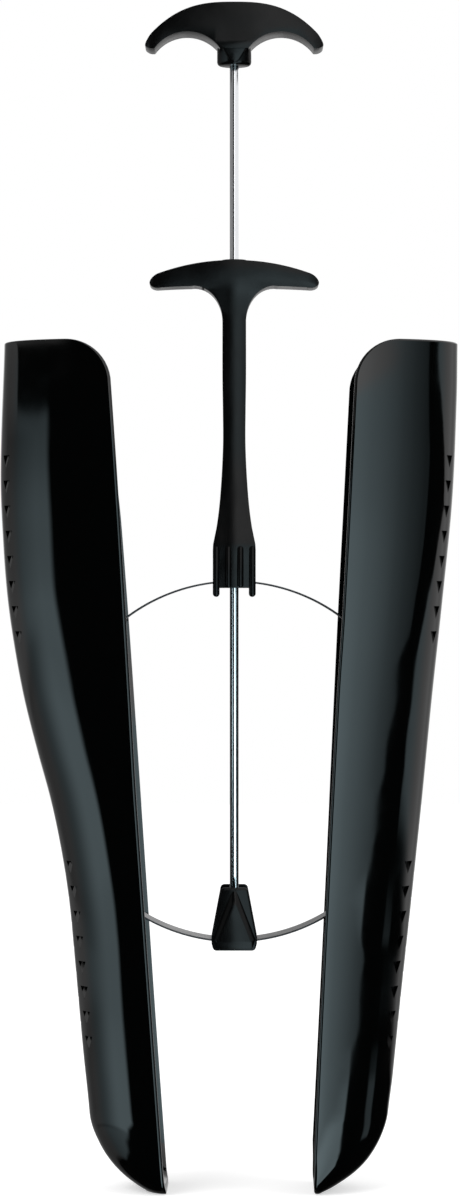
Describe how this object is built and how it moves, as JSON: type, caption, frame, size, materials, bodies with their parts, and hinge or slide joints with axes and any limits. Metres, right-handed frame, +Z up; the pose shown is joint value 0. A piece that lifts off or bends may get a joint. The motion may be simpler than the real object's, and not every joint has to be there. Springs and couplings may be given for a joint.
{
  "type": "boot shaper",
  "caption": "Sprung boot shaper: glossy calf and shin half shells on a round spring-steel hoop, closed by pushing a palm handle and its rod through a T grip.",
  "frame": {"origin": "on the rod's axis, at the height of the tips of the two shells", "axes": "+X from the calf shell to the shin shell, +Y away from the viewer across the width of the spring band, +Z up along the rod to the palm handle"},
  "size_m": [0.2054, 0.075, 0.5324],
  "materials": {
    "shell_black": "high-gloss injection-moulded black",
    "handle_black": "satin-gloss moulded black",
    "bush_black": "smooth matt low-friction plastic",
    "keeper_black": "fine matt moulded black",
    "rod_steel": "bright drawn and polished rod",
    "spring_steel": "blackened spring strip",
    "fastener_steel": "plain zinc-plated steel"
  },
  "bodies": {
    "grip": {"t_handle": "handle_black", "upper_bush": "bush_black", "lower_bush": "bush_black", "foot_plate": "handle_black", "foot_screws": "fastener_steel", "upper_band": "spring_steel"},
    "plunger": {"top_handle": "handle_black", "rod": "rod_steel", "handle_pin": "fastener_steel", "bottom_clip": "handle_black", "clip_base": "handle_black", "clip_screws": "fastener_steel", "clip_pin": "fastener_steel", "lower_band": "spring_steel"},
    "left_shell": {"calf_shell": "shell_black", "left_keeper": "keeper_black", "left_keeper_screws": "fastener_steel"},
    "right_shell": {"shin_shell": "shell_black", "right_keeper": "keeper_black", "right_keeper_screws": "fastener_steel"},
    "left_band_end": {"left_joiner": "spring_steel", "left_rivets": "fastener_steel"},
    "right_band_end": {"right_joiner": "spring_steel", "right_rivets": "fastener_steel"}
  },
  "joints": [
    {"name": "plunger_slide", "type": "slide", "parent": "grip", "child": "plunger", "axis": [0, 0, -1], "range_m": [0, 0.0525], "stiffness_N_per_m": 350},
    {"name": "left_close", "type": "slide", "parent": "grip", "child": "left_shell", "axis": [0.7719, 0, -0.6358], "range_m": [0, 0.0416], "deforming": ["upper_band"]},
    {"name": "right_close", "type": "slide", "parent": "grip", "child": "right_shell", "axis": [-0.7719, 0, -0.6358], "range_m": [0, 0.0416]},
    {"name": "left_end_follow", "type": "slide", "parent": "plunger", "child": "left_band_end", "axis": [0.7719, 0, 0.6358], "range_m": [0, 0.0416], "deforming": ["lower_band"]},
    {"name": "right_end_follow", "type": "slide", "parent": "plunger", "child": "right_band_end", "axis": [-0.7719, 0, 0.6358], "range_m": [0, 0.0416]}
  ],
  "couplings": [
    {"joint": "left_close", "follows": "plunger_slide", "ratio": 0.7865},
    {"joint": "right_close", "follows": "plunger_slide", "ratio": 0.7865},
    {"joint": "left_end_follow", "follows": "plunger_slide", "ratio": 0.7865},
    {"joint": "right_end_follow", "follows": "plunger_slide", "ratio": 0.7865}
  ]
}
